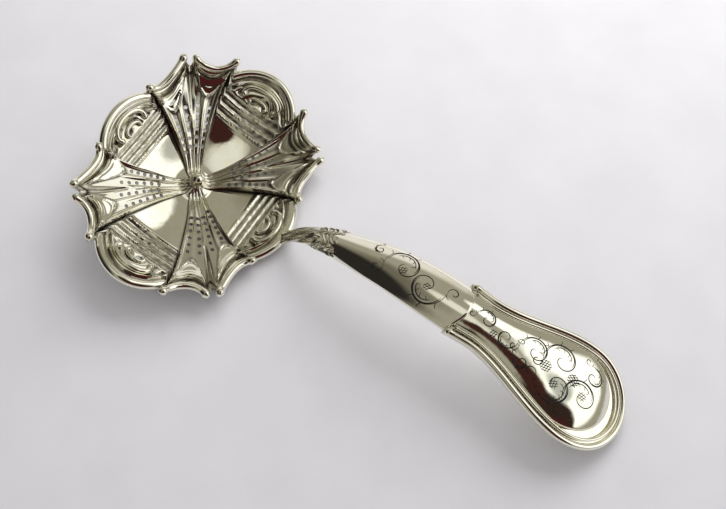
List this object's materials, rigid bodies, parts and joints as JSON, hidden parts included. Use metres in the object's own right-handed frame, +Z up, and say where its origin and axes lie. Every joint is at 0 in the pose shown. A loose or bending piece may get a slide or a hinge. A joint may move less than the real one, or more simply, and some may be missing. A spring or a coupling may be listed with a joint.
{
  "type": "sugar sifter ladle",
  "caption": "Sifter ladle with a shallow pierced bowl of lobes and scalloped fans, and an arched hollow handle ending in a drop-shaped blade.",
  "frame": {"origin": "under the middle of the ladle's bounding box, on the table that it lies on", "axes": "+Z up, +X from the bowl towards the handle, +Y across the bowl"},
  "size_m": [0.1417, 0.0682, 0.0206],
  "materials": {
    "bowl_silver": "polished silver, darkened in its recesses",
    "polished_silver": "mirror-polished silver",
    "cast_silver": "cast silver, softly polished"
  },
  "bodies": {
    "root": {"bowl_shell": "bowl_silver", "lobe_scroll_1": "bowl_silver", "lobe_scroll_2": "bowl_silver", "lobe_scroll_3": "bowl_silver", "lobe_scroll_4": "bowl_silver", "scallop_wire_1": "polished_silver", "scallop_wire_2": "polished_silver", "scallop_wire_3": "polished_silver", "scallop_wire_4": "polished_silver", "scallop_wire_5": "polished_silver", "scallop_wire_6": "polished_silver", "scallop_wire_7": "polished_silver", "scallop_wire_8": "polished_silver", "lobe_wire_1": "polished_silver", "lobe_wire_2": "polished_silver", "lobe_wire_3": "polished_silver", "lobe_wire_4": "polished_silver", "centre_boss": "polished_silver", "shank_front": "polished_silver", "shank_back": "polished_silver", "blade_back": "polished_silver", "blade_tray": "polished_silver", "blade_panel": "polished_silver", "blade_border": "polished_silver", "blade_thread": "polished_silver", "boss_collar": "cast_silver", "neck": "cast_silver", "leaf_knop": "cast_silver"}
  },
  "joints": []
}
